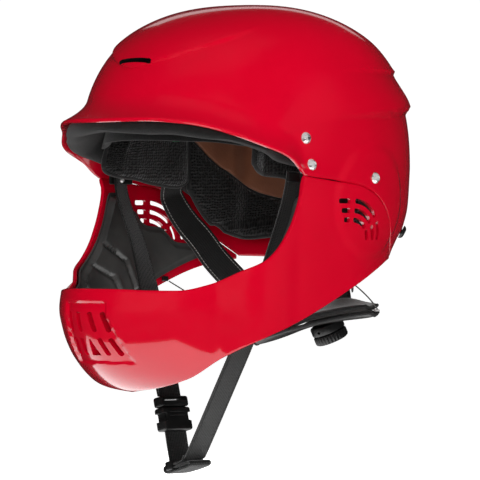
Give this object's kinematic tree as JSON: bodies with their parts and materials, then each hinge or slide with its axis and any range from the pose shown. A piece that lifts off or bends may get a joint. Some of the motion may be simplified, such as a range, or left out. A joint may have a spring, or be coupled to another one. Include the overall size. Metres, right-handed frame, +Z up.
{
  "type": "full-face whitewater helmet",
  "caption": "Full-face whitewater helmet: brimmed dome, riveted chin guard with grille and ear vents, foam liner, buckled chin strap and nape cradle.",
  "frame": {"origin": "middle of the wearer's head, halfway between the ears, on the helmet's mid-plane", "axes": "+Z up, the face looks along -Y, the wearer's left is +X"},
  "size_m": [0.2098, 0.2833, 0.3242],
  "materials": {
    "red_shell": "high-gloss clear-coated red",
    "foam": "matte charcoal closed-cell foam",
    "spacer_mesh": "black 3D spacer mesh over foam",
    "grey_eva": "moulded grey EVA, satin",
    "brown_band": "smooth rust-brown lining",
    "webbing": "woven black polyester webbing",
    "steel": "bright stainless steel",
    "black_plastic": "black moulded nylon",
    "lace": "thin coated lace",
    "green_tab": "woven green size tab"
  },
  "bodies": {
    "helmet": {"outer_shell": "red_shell", "face_guard": "red_shell", "guard_rivet_left_1": "steel", "rivet_washer_left_1": "steel", "guard_rivet_left_2": "steel", "rivet_washer_left_2": "steel", "guard_rivet_left_3": "steel", "rivet_washer_left_3": "steel", "guard_rivet_right_1": "steel", "rivet_washer_right_1": "steel", "guard_rivet_right_2": "steel", "rivet_washer_right_2": "steel", "guard_rivet_right_3": "steel", "rivet_washer_right_3": "steel", "foam_liner": "foam", "brow_pad": "foam", "temple_pad_left": "spacer_mesh", "temple_pad_right": "spacer_mesh", "crown_band": "brown_band", "crown_pad": "spacer_mesh", "rear_pad": "spacer_mesh", "chin_pad_left": "grey_eva", "chin_pad_right": "grey_eva", "ear_strap_left": "webbing", "ear_strap_right": "webbing", "rear_bolt_left": "black_plastic", "rear_bolt_right": "black_plastic", "rear_nut_left": "black_plastic", "rear_nut_right": "black_plastic", "lace_guide_left": "black_plastic", "lace_guide_right": "black_plastic", "cradle_hanger": "webbing", "size_tab": "green_tab"},
    "chin_straps": {"strap_anchor_left": "black_plastic", "strap_anchor_right": "black_plastic", "chin_strap_left": "webbing", "chin_strap_right": "webbing", "buckle_plug": "black_plastic", "strap_end_pad": "webbing"},
    "buckle_half": {"buckle_socket": "black_plastic", "chin_strap_tail": "webbing"},
    "cradle": {"cradle_frame": "black_plastic", "cradle_pad": "grey_eva", "reel_base": "black_plastic", "lace_left": "lace", "lace_right": "lace"},
    "dial": {"reel_dial": "black_plastic", "reel_spool": "black_plastic", "reel_screw": "steel"}
  },
  "joints": [
    {"name": "chin_strap_swing", "type": "hinge", "parent": "helmet", "child": "chin_straps", "pos_m": [0, -0.0375, 0.041], "axis": [1, 0, 0], "range_deg": [-12, 12]},
    {"name": "buckle_release", "type": "slide", "parent": "chin_straps", "child": "buckle_half", "axis": [0.2354, -0.0096, -0.9719], "range_m": [0, 0.0155]},
    {"name": "cradle_tilt", "type": "hinge", "parent": "helmet", "child": "cradle", "pos_m": [0, 0.0992, -0.047], "axis": [1, 0, 0], "range_deg": [0, 60]},
    {"name": "dial_turn", "type": "hinge", "parent": "cradle", "child": "dial", "pos_m": [0.00047, 0.07998, -0.05923], "axis": [0.1739, 0.364, -0.915], "range_deg": [0, 240]}
  ],
  "couplings": [
    {"joint": "dial_turn", "follows": "cradle_tilt", "ratio": 4}
  ]
}
